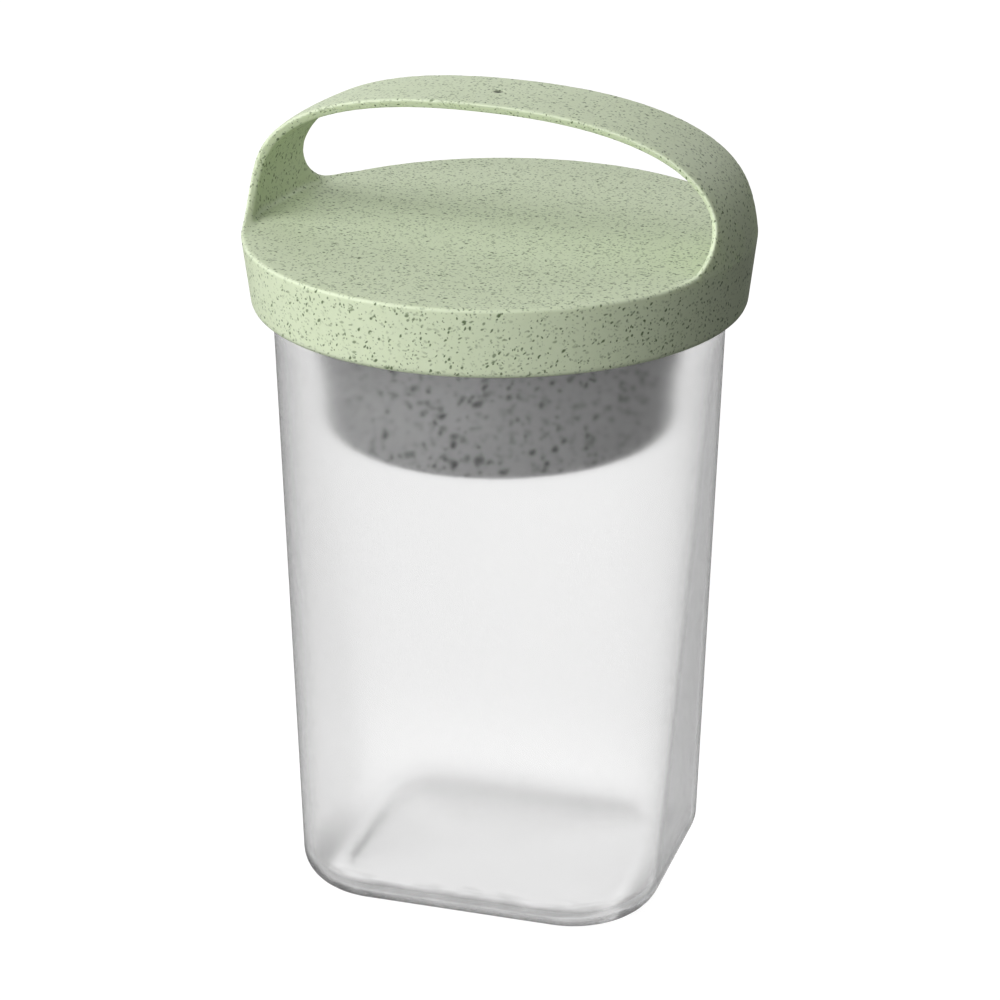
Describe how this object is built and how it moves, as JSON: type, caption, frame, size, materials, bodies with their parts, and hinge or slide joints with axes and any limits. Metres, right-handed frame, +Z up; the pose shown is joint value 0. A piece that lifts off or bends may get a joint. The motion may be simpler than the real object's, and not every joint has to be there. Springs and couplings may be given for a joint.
{
  "type": "lidded jar",
  "caption": "Frosted storage jar with a rounded rectangular foot and a round mouth, a hanging insert cup, and a screw lid with a wide carry loop.",
  "frame": {"origin": "on the floor, under the middle of the jar", "axes": "+Z up along the jar's axis; +X along the jar's wide face; +Y towards its other wide face"},
  "size_m": [0.11, 0.11, 0.179],
  "materials": {
    "frosted_plastic": "frosted, translucent, nearly colourless",
    "grey_plastic": "matte with fine darker fibres",
    "green_plastic": "matte sage green with fine dark fibres",
    "silicone": "satin"
  },
  "bodies": {
    "jar_body": {"jar": "frosted_plastic"},
    "cup": {"insert_cup": "grey_plastic"},
    "seal": {"lid_seal": "silicone"},
    "lid_body": {"lid": "green_plastic"}
  },
  "joints": [
    {"name": "lid_rise", "type": "slide", "parent": "jar_body", "child": "seal", "axis": [0, 0, 1], "range_m": [0, 0.072]},
    {"name": "lid_turn", "type": "hinge", "parent": "seal", "child": "lid_body", "pos_m": [0, 0, 0.1491], "axis": [0, 0, 1], "range_deg": [0, 1440]},
    {"name": "insert_lift", "type": "slide", "parent": "jar_body", "child": "cup", "axis": [0, 0, 1], "range_m": [0, 0.0432]}
  ],
  "couplings": [
    {"joint": "lid_rise", "follows": "lid_turn", "m_per_rad": 0.0028648},
    {"joint": "insert_lift", "follows": "lid_turn", "m_per_rad": 0.0017189}
  ]
}
